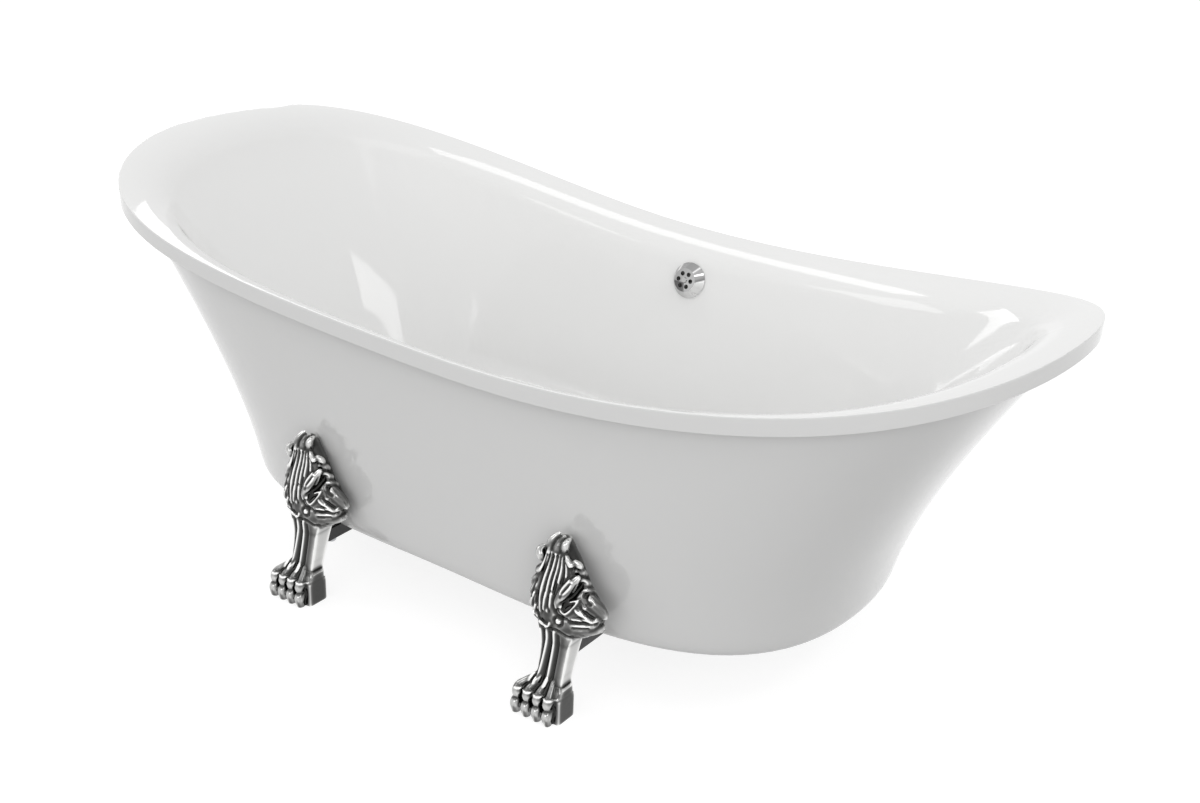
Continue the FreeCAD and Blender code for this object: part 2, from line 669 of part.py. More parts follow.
def pipe_run(radius):
    """The overflow pipe's path as a solid: level out of the tee, a bend, and up to the overflow."""
    start = Vector(DRAIN_X, 38.0, PIPE_HEIGHT)
    bend = Vector(*PIPE_BEND)
    top = Vector(*PIPE_TOP)
    level = (start - bend).normalize()
    rise = (top - bend).normalize()
    half = level.getAngle(rise) / 2
    trim = BEND_RADIUS / math.tan(half)
    middle = bend + (level + rise).normalize() * (BEND_RADIUS / math.sin(half))
    nearest = middle - (level + rise).normalize() * BEND_RADIUS
    first = bend + level * trim
    second = bend + rise * trim
    path = Part.Wire([Part.makeLine(start, first), Part.Arc(first, nearest, second).toShape(),
                      Part.makeLine(second, top)])
    section = Part.Wire([Part.makeCircle(radius, start, Vector(0, 1, 0))])
    return path.makePipeShell([section], True, False)


def make_overflow_parts(basin):
    """The overflow from the rose inside the bath to the pipe behind the wall."""
    place, inward = overflow_seat()
    outward = inward * -1
    across = Vector(1, 0, 0)
    upward = across.cross(inward)

    def along(radius, distance, length, direction=inward, shift=Vector(0, 0, 0)):
        return rod(radius, place + inward * distance + shift, direction, length)

    base = SEAL_THICKNESS
    face = base + ROSE_HEIGHT
    wall = 3.0
    rose = cone(ROSE_BASE_RADIUS, ROSE_FACE_RADIUS, place + inward * base, inward, ROSE_HEIGHT)
    hollow = cone(ROSE_BASE_RADIUS - wall, ROSE_FACE_RADIUS - wall, place + inward * base, inward,
                  ROSE_HEIGHT - wall)
    holes = [along(3.0, 0, 2 * face)]
    for number in range(6):
        angle = math.radians(60 * number)
        shift = across * (12.5 * math.cos(angle)) + upward * (12.5 * math.sin(angle))
        holes.append(along(4.0, 0, 2 * face, inward, shift))
    gasket = along(30.0, -2.0, base + 2.0).cut([along(OVERFLOW_HOLE_RADIUS, -3, 10), basin])
    seal = along(30.0, -BODY_START, 6.0).cut([along(OVERFLOW_HOLE_RADIUS, -BODY_START, 12), basin])
    screw = fused(cone(5.5, 4.5, place + inward * face, inward, 2.0),
                  along(3.0, face, face + BODY_START + BODY_DEPTH - 5.0, outward))
    spigot = Vector(*PIPE_TOP)
    down = (Vector(*PIPE_BEND) - spigot).normalize()
    neck = rod(PIPE_RADIUS + 2.0, spigot + down * 16.0, down * -1, 30.0)
    body = along(BODY_RADIUS, -BODY_START, BODY_DEPTH, outward)
    boss = along(7.0, -BODY_START, BODY_DEPTH, outward)
    chamber = along(BODY_RADIUS - wall, -BODY_START, BODY_DEPTH - wall, outward).cut(boss)
    in_front = along(3 * BODY_RADIUS, -BODY_START, 3 * BODY_RADIUS)
    passage = rod(PIPE_RADIUS - PIPE_WALL, spigot + down, down * -1, 24.0)
    cuts = [chamber, in_front, passage.cut(boss), rod(PIPE_RADIUS, spigot, down, 20.0),
            along(3.0, face, face + BODY_START + BODY_DEPTH - 5.0, outward)]
    pipe = pipe_run(PIPE_RADIUS).cut(pipe_run(PIPE_RADIUS - PIPE_WALL))
    return {
        "overflow_rose": rose.cut([hollow] + holes),
        "overflow_screw": screw,
        "overflow_gasket": gasket,
        "overflow_seal": seal,
        "overflow_body": fused(body, neck).cut(cuts),
        "overflow_pipe": pipe,
    }


# ---------------------------------------------------------------- all pieces


def make_foot_parts():
    """The four feet with their brackets and levellers, and the groups of small fastenings."""
    nodes = {}
    studs = []
    washers = []
    nuts = []
    blank = foot_blank()
    skirt = skirt_filled(FITTING_GAP)
    for side, side_name in ((-1, "front"), (1, "back")):
        for end, end_name in ((-1, "left"), (1, "right")):
            name = side_name + "_" + end_name
            nodes["foot_" + name] = placed(blank, side, end).cut(skirt)
            nodes["bracket_" + name] = placed(make_bracket(), side, end)
            nodes["leveller_" + name] = placed(leveller(), side, end)
            studs.append(placed(foot_stud(), side, end))
            washers.append(placed(foot_washer(), side, end))
            nuts.append(placed(foot_nut(), side, end))
    nodes["foot_studs"] = Part.makeCompound(studs)
    nodes["foot_washers"] = Part.makeCompound(washers)
    nodes["foot_nuts"] = Part.makeCompound(nuts)
    return nodes


def main():
    """Builds every piece and writes each to its own file."""
    basin = make_basin_shell()
    board_screws = make_board_screws()
    nodes = {
        "basin_shell": basin,
        "outer_shell": make_outer_shell(),
        "base_board": make_base_board().cut(board_screws),
        "batten_left": make_batten(-1),
        "batten_right": make_batten(1),
        "board_screws": Part.makeCompound(board_screws),
        "bracket_screws": Part.makeCompound(make_bracket_screws()),
    }
    nodes.update(make_foot_parts())
    nodes.update(make_waste_parts())
    nodes.update(make_plug_parts())
    nodes.update(make_overflow_parts(basin))
    os.makedirs("parts", exist_ok=True)
    for name, shape in nodes.items():
        shape.exportStep("parts/" + name + ".step")


main()
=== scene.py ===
import json
import math

import bmesh
import bpy
import numpy as np
from mathutils import Matrix, Vector
from mathutils.bvhtree import BVHTree


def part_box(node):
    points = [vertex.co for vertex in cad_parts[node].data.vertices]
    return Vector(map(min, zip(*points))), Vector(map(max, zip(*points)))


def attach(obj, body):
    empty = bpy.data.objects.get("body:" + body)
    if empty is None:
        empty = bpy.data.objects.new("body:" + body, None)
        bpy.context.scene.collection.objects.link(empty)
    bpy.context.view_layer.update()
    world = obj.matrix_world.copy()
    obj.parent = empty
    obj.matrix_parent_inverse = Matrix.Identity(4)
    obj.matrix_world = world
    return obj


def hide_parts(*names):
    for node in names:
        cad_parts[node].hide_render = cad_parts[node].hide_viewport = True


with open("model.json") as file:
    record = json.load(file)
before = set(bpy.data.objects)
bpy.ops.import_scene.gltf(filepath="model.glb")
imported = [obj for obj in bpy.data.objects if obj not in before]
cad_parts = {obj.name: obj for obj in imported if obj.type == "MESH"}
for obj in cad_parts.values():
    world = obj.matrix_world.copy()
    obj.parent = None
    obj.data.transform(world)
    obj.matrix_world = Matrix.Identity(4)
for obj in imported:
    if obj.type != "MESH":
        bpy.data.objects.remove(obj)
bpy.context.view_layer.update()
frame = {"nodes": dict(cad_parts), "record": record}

# A white acrylic slipper bath on four chrome claw feet, in metres, in the frame of the solids.

NODES = frame["nodes"]


def link(piece):
    """Puts a new object in the scene."""
    bpy.context.scene.collection.objects.link(piece)
    return piece


# ---------------------------------------------------------------- shader building blocks

def feed(tree, socket, term):
    """Links a socket to another one, or sets it to a plain value. A plain colour has three parts."""
    if isinstance(term, bpy.types.NodeSocket):
        tree.links.new(term, socket)
    elif socket.type == "RGBA":
        socket.default_value = (*term, 1)
    else:
        socket.default_value = term


def add_maths(tree, operation, *terms):
    """Maths on sockets or plain numbers. Returns the result."""
    node = tree.nodes.new("ShaderNodeMath")
    node.operation = operation
    for socket, term in zip(node.inputs, terms):
        feed(tree, socket, term)
    return node.outputs["Value"]


def add_vector_maths(tree, operation, *terms):
    """Maths on places or directions. Returns the node, because its result may be a vector or a number."""
    node = tree.nodes.new("ShaderNodeVectorMath")
    node.operation = operation
    for socket, term in zip(node.inputs, terms):
        feed(tree, socket, term)
    return node


def add_range(tree, value, given, wanted):
    """Maps a value from one range to another."""
    node = tree.nodes.new("ShaderNodeMapRange")
    feed(tree, node.inputs["Value"], value)
    for label, (low, high) in (("From", given), ("To", wanted)):
        feed(tree, node.inputs[label + " Min"], low)
        feed(tree, node.inputs[label + " Max"], high)
    return node.outputs["Result"]


def add_noise(tree, place, scale, detail, distortion=0.0):
    """A noise pattern, read at a place."""
    noise = tree.nodes.new("ShaderNodeTexNoise")
    feed(tree, noise.inputs["Vector"], place)
    feed(tree, noise.inputs["Scale"], scale)
    feed(tree, noise.inputs["Detail"], detail)
    feed(tree, noise.inputs["Distortion"], distortion)
    return noise.outputs["Fac"]


def add_ramp(tree, value, stops):
    """A grey ramp over a value, from (position, grey) stops."""
    ramp = tree.nodes.new("ShaderNodeValToRGB")
    elements = ramp.color_ramp.elements
    for element, (position, grey) in zip(elements, stops[:2]):
        element.position = position
        element.color = (grey, grey, grey, 1)
    for position, grey in stops[2:]:
        elements.new(position).color = (grey, grey, grey, 1)
    feed(tree, ramp.inputs["Fac"], value)
    return ramp.outputs["Color"]


def new_group(name, inputs, outputs):
    """A shader node group with named number sockets. Each input is a name and its default."""
    group = bpy.data.node_groups.new(name, "ShaderNodeTree")
    for label, value in inputs:
        socket = group.interface.new_socket(name=label, in_out="INPUT", socket_type="NodeSocketFloat")
        socket.default_value = value
    for label in outputs:
        group.interface.new_socket(name=label, in_out="OUTPUT", socket_type="NodeSocketFloat")
    start = group.nodes.new("NodeGroupInput")
    end = group.nodes.new("NodeGroupOutput")
    return group, start.outputs, end.inputs


def make_smudge_group():
    """Uneven gloss: soft patches and fine wipe marks between a low and a high value."""
    group, given, result = new_group(
        "wiped_gloss",
        (("Patch Scale", 6.0), ("Wipe Scale", 60.0), ("Low", 0.05), ("High", 0.12)), ("Value", "Mask"))
    place = group.nodes.new("ShaderNodeTexCoord").outputs["Object"]
    patch = add_noise(group, place, given["Patch Scale"], 4.0)
    wipe = add_noise(group, place, given["Wipe Scale"], 6.0, 1.2)
    both = add_maths(group, "MULTIPLY", patch, wipe)
    usual_spread = (0.12, 0.40)
    value = add_range(group, both, usual_spread, (given["Low"], given["High"]))
    feed(group, result["Value"], value)
    feed(group, result["Mask"], both)
    return group


def make_ripple_group():
    """The slight waver of a moulded or cast surface, as a height."""
    group, given, result = new_group(
        "surface_waver", (("Scale", 4.0), ("Fine Scale", 200.0), ("Fine Share", 0.05)), ("Height",))
    place = group.nodes.new("ShaderNodeTexCoord").outputs["Object"]
    broad = add_noise(group, place, given["Scale"], 1.0)
    fine = add_noise(group, place, given["Fine Scale"], 3.0)
    feed(group, result["Height"], add_maths(group, "MULTIPLY_ADD", fine, given["Fine Share"], broad))
    return group


SMUDGE = make_smudge_group()
RIPPLE = make_ripple_group()


def place_group(material, group, **values):
    """Puts a shared group in a material and sets its inputs by name."""
    node = material.node_tree.nodes.new("ShaderNodeGroup")
    node.node_tree = group
    for label, value in values.items():
        node.inputs[label.replace("_", " ")].default_value = value
    return node


def start_material(name, roughness, metallic=0.0):
    """A material with its main shader, ready for patterns."""
    material = bpy.data.materials.new(name)
    material.use_nodes = True
    shader = material.node_tree.nodes["Principled BSDF"]
    shader.inputs["Roughness"].default_value = roughness
    shader.inputs["Metallic"].default_value = metallic
    return material, shader


def add_gloss(material, shader, low, high, patch_scale, wipe_scale):
    """Lets the roughness wander between two values. Returns the pattern's mask."""
    node = place_group(material, SMUDGE, Low=low, High=high, Patch_Scale=patch_scale, Wipe_Scale=wipe_scale)
    feed(material.node_tree, shader.inputs["Roughness"], node.outputs["Value"])
    return node.outputs["Mask"]


def add_bump(material, shader, height, distance):
    """Raises the surface's shading by a height pattern."""
    bump = material.node_tree.nodes.new("ShaderNodeBump")
    bump.inputs["Distance"].default_value = distance
    feed(material.node_tree, bump.inputs["Height"], height)
    feed(material.node_tree, shader.inputs["Normal"], bump.outputs["Normal"])


def add_waver(material, shader, distance, scale, fine_scale, fine_share):
    """Lets the surface waver by a small height."""
    node = place_group(material, RIPPLE, Scale=scale, Fine_Scale=fine_scale, Fine_Share=fine_share)
    add_bump(material, shader, node.outputs["Height"], distance)


def colour_between(material, shader, mask, first, second):
    """Blends two colours by a mask into the base colour."""
    mix = material.node_tree.nodes.new("ShaderNodeMix")
    mix.data_type = "RGBA"
    feed(material.node_tree, mix.inputs["Factor"], mask)
    feed(material.node_tree, mix.inputs["A"], first)
    feed(material.node_tree, mix.inputs["B"], second)
    feed(material.node_tree, shader.inputs["Base Color"], mix.outputs["Result"])


# ---------------------------------------------------------------- the finishes

def make_white_acrylic():
    """White gloss sanitary acrylic."""
    material, shader = start_material("white_acrylic", 0.08)
    mask = add_gloss(material, shader, 0.05, 0.09, 3.0, 30.0)
    colour_between(material, shader, mask, (0.852, 0.852, 0.846), (0.866, 0.866, 0.861))
    add_waver(material, shader, 0.0006, 3.0, 220.0, 0.004)
    shader.inputs["IOR"].default_value = 1.49
    shader.inputs["Coat Weight"].default_value = 0.25
    shader.inputs["Coat Roughness"].default_value = 0.03
    return material


def make_chrome():
    """Polished chrome."""
    material, shader = start_material("chrome", 0.08, 1.0)
    mask = add_gloss(material, shader, 0.04, 0.12, 25.0, 180.0)
    colour_between(material, shader, mask, (0.46, 0.46, 0.455), (0.58, 0.58, 0.575))
    add_waver(material, shader, 0.0003, 40.0, 400.0, 0.10)
    return material


# The overflow rose's painted reflections, light and dark bands round its cone and on its face: a part of a
# turn, from the left through below, right and above, and how bright the chrome's colour is painted there. A
# point is on the face if it faces nearly as the face does.
ROSE_CONE_PAINTED_REFLECTION = (
    (0.00, 0.26), (0.12, 0.40), (0.25, 0.62), (0.40, 0.84), (0.50, 0.98), (0.53, 0.98),
    (0.54, 0.22), (0.57, 0.40), (0.64, 0.44), (0.655, 0.98), (0.67, 0.36), (0.76, 0.32),
    (0.84, 0.42), (0.86, 0.95), (0.90, 0.30), (1.00, 0.26))
ROSE_FACE_PAINTED_REFLECTION = (
    (0.00, 0.12), (0.26, 0.16), (0.31, 0.46), (0.50, 0.52), (0.75, 0.44), (0.985, 0.36), (1.00, 0.12))
ROSE_FACE_AGREEMENT = 0.95


def make_rose_chrome_with_painted_reflection():
    """The rose's chrome with painted reflections: light and dark bands painted round its cone, and a
    painted darker lower left on its face.
    """
    material, shader = start_material("rose_chrome_painted_reflection", 0.06, 1.0)
    tree = material.node_tree
    add_gloss(material, shader, 0.03, 0.09, 25.0, 180.0)
    low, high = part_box("overflow_rose")
    middle = [(a + b) / 2 for a, b in zip(low, high)]
    face = min(NODES["overflow_rose"].data.polygons, key=lambda polygon: polygon.normal.y)
    place = tree.nodes.new("ShaderNodeTexCoord").outputs
    parts = tree.nodes.new("ShaderNodeSeparateXYZ")
    from_middle = add_vector_maths(tree, "SUBTRACT", place["Object"], middle)
    feed(tree, parts.inputs["Vector"], from_middle.outputs["Vector"])
    angle = add_maths(tree, "ARCTAN2", parts.outputs["Z"], parts.outputs["X"])
    turn = add_range(tree, angle, (-math.pi, math.pi), (0.0, 1.0))
    facing = add_vector_maths(tree, "DOT_PRODUCT", place["Normal"], face.normal)
    on_face = add_maths(tree, "GREATER_THAN", facing.outputs["Value"], ROSE_FACE_AGREEMENT)
    # Painted reflections: the cone's and the face's colour is made lighter and darker by the angle round
    # the rose.
    cone_painted_reflection = add_ramp(tree, turn, ROSE_CONE_PAINTED_REFLECTION)
    face_painted_reflection = add_ramp(tree, turn, ROSE_FACE_PAINTED_REFLECTION)
    colour_between(material, shader, on_face, cone_painted_reflection, face_painted_reflection)
    return material


def make_cast_chrome_with_painted_light():
    """Chrome on a casting whose colour carries painted light: painted highlights on proud points and on the
    leg's side flats, painted shade in the hollows.
    """
    material, shader = start_material("cast_chrome_painted_light", 0.1, 1.0)
    tree = material.node_tree
    add_gloss(material, shader, 0.05, 0.14, 30.0, 200.0)
    painted_light_level = tree.nodes.new("ShaderNodeAttribute")
    painted_light_level.attribute_name = "painted_light_level"
    # Painted light: the colour runs from near black, painted shade in the hollows, to near white, painted
    # highlights on proud points and a painted reflection on the leg's side flats.
    mask = add_ramp(tree, painted_light_level.outputs["Fac"], ((0.0, 0.0), (0.30, 0.055), (0.50, 0.20), (0.80, 1.0)))
    colour_between(material, shader, mask, (0.030, 0.030, 0.029), (0.88, 0.88, 0.87))
    add_waver(material, shader, 0.0003, 60.0, 500.0, 0.10)
    return material


def make_black_steel():
    """Black paint on folded steel."""
    material, shader = start_material("black_steel", 0.4)
    mask = add_gloss(material, shader, 0.30, 0.50, 20.0, 200.0)
    colour_between(material, shader, mask, (0.010, 0.010, 0.011), (0.022, 0.022, 0.023))
    add_waver(material, shader, 0.0002, 60.0, 900.0, 0.5)
    return material


def make_zinc():
    """Bright zinc plating."""
    material, shader = start_material("zinc_plate", 0.3, 1.0)
    mask = add_gloss(material, shader, 0.18, 0.36, 60.0, 400.0)
    colour_between(material, shader, mask, (0.42, 0.43, 0.45), (0.60, 0.61, 0.62))
    add_waver(material, shader, 0.00005, 200.0, 2000.0, 0.5)
    return material


def make_brass():
    """Plain machined brass."""
    material, shader = start_material("machined_brass", 0.3, 1.0)
    mask = add_gloss(material, shader, 0.2, 0.35, 60.0, 500.0)
    colour_between(material, shader, mask, (0.55, 0.38, 0.15), (0.70, 0.52, 0.24))
    return material


def make_rubber():
    """Black rubber with a matt skin."""
    material, shader = start_material("black_rubber", 0.6)
    mask = add_gloss(material, shader, 0.5, 0.7, 40.0, 400.0)
    colour_between(material, shader, mask, (0.016, 0.016, 0.016), (0.035, 0.035, 0.035))
    add_waver(material, shader, 0.0001, 100.0, 1500.0, 0.5)
    return material


def make_pipe_plastic():
    """White pipe plastic."""
    material, shader = start_material("pipe_plastic", 0.35)
    mask = add_gloss(material, shader, 0.28, 0.42, 15.0, 150.0)
    colour_between(material, shader, mask, (0.70, 0.70, 0.68), (0.78, 0.78, 0.76))
    add_waver(material, shader, 0.0002, 30.0, 700.0, 0.2)
    return material


def make_timber(name, pale, dark, along, ring_scale):
    """Wood with its grain along one axis: along holds the pattern's scale on each axis."""
    material, shader = start_material(name, 0.6)
    tree = material.node_tree
    stretch = tree.nodes.new("ShaderNodeMapping")
    stretch.inputs["Scale"].default_value = along
    feed(tree, stretch.inputs["Vector"], tree.nodes.new("ShaderNodeTexCoord").outputs["Object"])
    grain = add_noise(tree, stretch.outputs["Vector"], ring_scale, 8.0, 0.6)
    colour_between(material, shader, add_ramp(tree, grain, ((0.35, 0.0), (0.65, 1.0))), pale, dark)
    add_bump(material, shader, grain, 0.0003)
    return material


CAST_CHROME_WITH_PAINTED_LIGHT = make_cast_chrome_with_painted_light()
FINISHES = {
    "white_acrylic": make_white_acrylic(),
    "plywood": make_timber("plywood", (0.50, 0.35, 0.19), (0.36, 0.23, 0.11), (1.0, 12.0, 60.0), 3.0),
    "softwood": make_timber("softwood", (0.60, 0.43, 0.24), (0.46, 0.30, 0.15), (30.0, 1.5, 30.0), 2.0),
    "zinc_steel": make_zinc(),
    "chrome_casting": CAST_CHROME_WITH_PAINTED_LIGHT,
    "chrome": make_chrome(),
    "brass": make_brass(),
    "black_steel": make_black_steel(),
    "white_plastic": make_pipe_plastic(),
    "black_rubber": make_rubber(),
}


def finish_nodes():
    """Gives every solid that shows its finish."""
    for part in frame["record"]["subparts"]:
        node = NODES[part["node"]]
        node.data.materials.clear()
        node.data.materials.append(FINISHES[part["material_slot"]])
    NODES["overflow_rose"].data.materials[0] = make_rose_chrome_with_painted_reflection()


finish_nodes()


# ---------------------------------------------------------------- the claw feet

# A foot is carved once in millimetres in its own frame: its paw's middle is near x = 0, y = 0, its
# toes point to -y and the bath is on its +y side. Then it is placed four times, in metres.
FOOT_X = 0.258
FOOT_Y = 0.385

# The carving, in millimetres: how fine it is, how far forward the toes reach and where the sole is.
# Each smoothing is a number of rounds and the share of the way that a point moves in one.
CARVING_GRAIN = 1.15
FRONT_LIMIT = -37.4
SOLE_HEIGHT = 0.15
WELD_DISTANCE = 1e-4
MASS_SMOOTHING = (5, 0.5)
CARVING_SMOOTHING = (2, 0.4)

# The bores of a foot: the levelling screw's hole with its pad's recess, and the stud's hole.
LEVELLER_X = 5
LEVELLER_HOLE_RADIUS = 5.05
LEVELLER_HOLE_TOP = 42
PAD_RECESS_RADIUS = 13
PAD_RECESS_TOP = 7
BELOW_FOOT = -3
STUD_HOLE_RADIUS = 5.1
STUD_HOLE_DEPTH = 30
STUD_HOLE_MIDDLE = (10, 68, 100)

# Where a foot lies against the skirt, in metres.
SKIRT_CLEARANCE = 0.0003
SKIRT_LOWEST = 0.112
SKIRT_FARTHEST_Y = 0.375
OUTSIDE_Y = 0.6

# Level sections: height, left, right, front, back.
LEG_SECTIONS = (
    (20, -14, 38, -16, 16), (40, -13, 39, -17, 17), (56, -10, 38, -13, 20), (76, -8, 38, -8, 26),
    (96, -7, 39, -4, 33), (112, -8, 40, -1, 38), (126, -10, 41, 1, 43), (140, -15, 46, 0, 50),
    (152, -18, 50, 0, 54))
LEAF_SECTIONS = (
    (138, -10, 52, 8, 54), (144, -18, 62, 3, 56), (152, -24, 72, 0, 56), (164, -30, 79, -1, 56),
    (178, -34, 83, 0, 54), (186, -35, 83, 1, 54), (196, -35, 75, 2, 52), (208, -33, 64, 3, 52),
    (218, -30, 57, 5, 50), (230, -26, 50, 7, 50), (244, -22, 43, 10, 48), (256, -16, 36, 12, 48),
    (268, -9, 27, 14, 46), (278, -6, 20, 17, 46), (284, -3, 14, 21, 46))
HEEL_SECTIONS = ((0, -33, 44, -20, 20), (42, -33, 44, -20, 20))
INSTEP_SECTIONS = (
    (36, -30, 43, -22, 19), (46, -28, 44, -22, 20), (54, -20, 43, -17, 20), (60, -13, 40, -13, 20))
LUG_SECTIONS = ((93.2, -8, 28, 20, 82), (108, -8, 28, 20, 82))

# Round members: each entry is a point of the member's middle and its radius.
BUD_LEFT_PETAL = (
    (-9, 20, 262, 5), (-7, 18, 274, 6.5), (-4, 19, 283, 6.5), (1, 22, 291, 4.5), (5, 24, 296, 2.2))
BUD_MIDDLE = ((5, 20, 266, 9), (7, 20, 276, 8.5), (9, 23, 284, 6.5), (11, 27, 290, 3.5))
BUD_RIGHT_PETAL = ((17, 22, 270, 6.5), (18, 20, 279, 7), (19, 22, 285, 5.5), (21, 27, 289, 3))
CURL_STEM = (
    (-3, 14, 278, 2.5), (-5, 11, 266, 3.4), (-8, 9, 252, 3.6), (-13, 9, 240, 4), (-21, 12, 230, 4.5),
    (-29, 17, 224, 4))
UPPER_KNOB = ((-15, 17, 247, 5), (-20, 15, 254, 8), (-23, 17, 261, 7.5), (-19, 21, 267, 5))
EDGE_LOBES = (
    ((-14, 18, 238, 5), (-26, 19, 230, 5), (-32, 22, 222, 4.2)),
    ((-20, 16, 222, 6), (-31, 17, 210, 6), (-38, 21, 200, 5), (-41, 25, 192, 3.2)),
    ((-24, 14, 205, 7), (-33, 15, 190, 6.5), (-37, 19, 181, 4.6), (-37, 24, 176, 3)),
    ((-24, 10, 188, 8), (-30, 11, 174, 7), (-32, 15, 166, 5), (-30, 20, 160, 3.2)),
    ((-18, 8, 172, 8), (-22, 9, 160, 7), (-20, 12, 151, 5), (-14, 12, 146, 3.6)))
RIGHT_KNOBS = (
    ((24, 17, 266, 3.6), (29, 14, 262, 4.8), (34, 14, 258, 5.8)),
    ((38, 18, 262, 4.2), (42, 21, 257, 6.0), (43, 24, 253, 5.4)),
    ((40, 20, 247, 4.4), (44, 26, 244, 6.0), (45, 32, 239, 5.4)),
    ((44, 18, 236, 5.0), (50, 22, 231, 6.8), (53, 30, 226, 6.0)),
    ((50, 20, 222, 5.6), (56, 25, 218, 6.8), (60, 33, 213, 6.0)))
BROW = ((49, 11, 243, 4.5), (42, 7, 231, 8.5), (33, 5, 217, 10.5), (25, 3, 202, 8.8), (19, 1, 189, 5))
CHEEK = ((38, 10, 176, 13), (48, 12, 184, 14), (57, 15, 192, 13))
SNOUT = ((62, 23, 206, 11), (69, 25, 198, 12.5), (76, 28, 190, 11.5), (82, 31, 184, 8.2))
LOWER_LIP = ((40, 8, 160, 7), (54, 9, 160, 7.5), (67, 14, 160, 8), (77, 22, 162, 7), (80, 30, 163, 6))
CHIN = ((34, 12, 150, 8), (50, 14, 151, 7), (62, 20, 152, 7))
TOE_PLACES = (-29, -10, 9, 28)
TOE_ROOTS = (-7, 3, 14, 25)
TOE_SPREAD = 34.0

# Carved lines on the front: height of the ridge (or depth of the groove), half width, (x, z) path.
CARVED_LINES = (
    (2.6, 2.4, ((1, 268), (-3, 245), (-9, 215), (-12, 190), (-10, 170))),
    (2.6, 2.2, ((8, 266), (5, 245), (1, 224), (0, 208))),
    (2.4, 2.0, ((13, 265), (12, 246), (9, 226), (8, 212))),
    (2.2, 1.8, ((18, 263), (19, 248), (18, 236), (17, 226))),
    (3.4, 3.4, ((-1, 202), (-4, 190), (-5, 176))),
    (3.0, 3.0, ((8, 204), (7, 190), (4, 176))),
    (2.2, 2.0, ((40, 238), (33, 226), (30, 216), (36, 220), (42, 229), (44, 237))),
    (2.0, 1.6, ((23, 261), (27, 250), (29, 238))),
    (-3.0, 2.2, ((4, 264), (1, 245), (-4, 215), (-7, 190), (-6, 172))),
    (-3.0, 2.2, ((11, 264), (9, 244), (5, 218), (3, 194), (6, 176))),
    (-2.8, 2.0, ((16, 263), (16, 246), (14, 226), (11, 206))),
    (-2.4, 1.8, ((21, 262), (23, 249), (24, 236), (22, 222))),
    (-3.0, 2.6, ((-5, 262), (-9, 240), (-16, 214), (-20, 188), (-18, 166))),
    (-2.4, 1.6, ((-24, 214), (-29, 198), (-30, 186))),
    (-2.4, 1.6, ((-22, 196), (-26, 180), (-27, 170))),
    (-2.4, 1.6, ((-16, 182), (-20, 168), (-20, 158))),
    (-4.5, 3.4, ((54, 232), (48, 218), (40, 206), (32, 198))),
    (-2.2, 1.6, ((44, 236), (36, 224), (29, 210))),
    (-3.5, 3.0, ((15, 190), (18, 178), (27, 174), (40, 176))),
    (-3.4, 2.0, ((58, 200), (66, 194), (72, 190), (79, 186))),
    (2.0, 1.8, ((52, 195), (60, 190), (68, 186), (76, 181))),
    (-4.4, 2.4, ((44, 172), (56, 174), (66, 176), (76, 175), (86, 176))),
    (2.2, 1.8, ((50, 180), (60, 181), (70, 182), (78, 180))),
    (-2.4, 1.6, ((58, 184), (66, 180), (72, 178))),
    (-2.6, 1.8, ((50, 164), (60, 166), (72, 168))),
    (-3.0, 2.2, ((18, 160), (24, 158), (30, 162), (31, 168), (26, 172), (19, 171), (16, 165), (19, 160))),
    (-2.5, 2.5, ((60, 216), (64, 209), (70, 205))),
    (-2.4, 1.8, ((10, 148), (24, 149), (40, 146), (56, 146))),
    (-2.6, 2.2, ((10, 140), (10, 118), (8, 94), (6, 70), (5, 58))),
    (-2.6, 2.2, ((-3, 140), (-2, 118), (-3, 94), (-6, 72), (-9, 58))),
    (-2.0, 2.0, ((24, 140), (24, 118), (23, 94), (22, 70))),
    (3.0, 1.7, ((52, 208), (43, 205), (33, 199), (27, 191), (29, 184), (36, 183), (43, 189), (48, 197),
                (52, 206))),
    (-2.0, 1.6, ((48, 203), (40, 198), (33, 191))),
    (3.2, 2.4, ((-22, 162), (-14, 155), (-4, 151), (6, 151), (9, 157))),
    (3.4, 3.4, ((24, 165), (24.5, 165.2))),
    (2.4, 2.6, ((4, 150), (4, 128), (1, 100), (-2, 75), (-5, 58))),
    (2.4, 2.6, ((17, 146), (17, 124), (16, 98), (15, 74), (14, 58))),
    (1.8, 2.6, ((-8, 140), (-7, 115), (-7, 92), (-10, 70), (-14, 56))),
    (1.2, 1.6, ((-30, 44), (0, 44), (40, 45))),
)
# How much a surface faces forwards before a line starts to be carved, and where it is carved in
# full. Nothing is carved behind the depth.
CARVED_FACING = (0.05, 0.40)
CARVED_DEPTH = 40


def rounded_tower(form, sections, corner):
    """Adds a closed upright form that runs through level sections. Its corners are rounded by a share."""
    tower = bmesh.new()
    bmesh.ops.create_grid(tower, x_segments=1, y_segments=1, size=0.5)
    bmesh.ops.bevel(tower, geom=tower.verts[:], offset=corner, affect="VERTICES", segments=5,
                    profile=0.5, material=-1)
    rings = [tower.faces[:][0]]
    for _ in sections[1:]:
        first = rings[0]
        copy = bmesh.ops.duplicate(tower, geom=[first] + first.edges[:] + first.verts[:])["geom"]
        rings.append([item for item in copy if isinstance(item, bmesh.types.BMFace)][0])
    for ring, (height, left, right, front, back) in zip(rings, sections):
        bmesh.ops.scale(tower, vec=(right - left, back - front, 1), verts=ring.verts[:])
        middle = ((left + right) / 2, (front + back) / 2, height)
        bmesh.ops.translate(tower, vec=middle, verts=ring.verts[:])
    for low, high in zip(rings, rings[1:]):
        bmesh.ops.bridge_loops(tower, edges=low.edges[:] + high.edges[:])
    bmesh.ops.delete(tower, geom=rings[1:-1], context="FACES_ONLY")
    bmesh.ops.recalc_face_normals(tower, faces=tower.faces[:])
    add_form(form, tower)


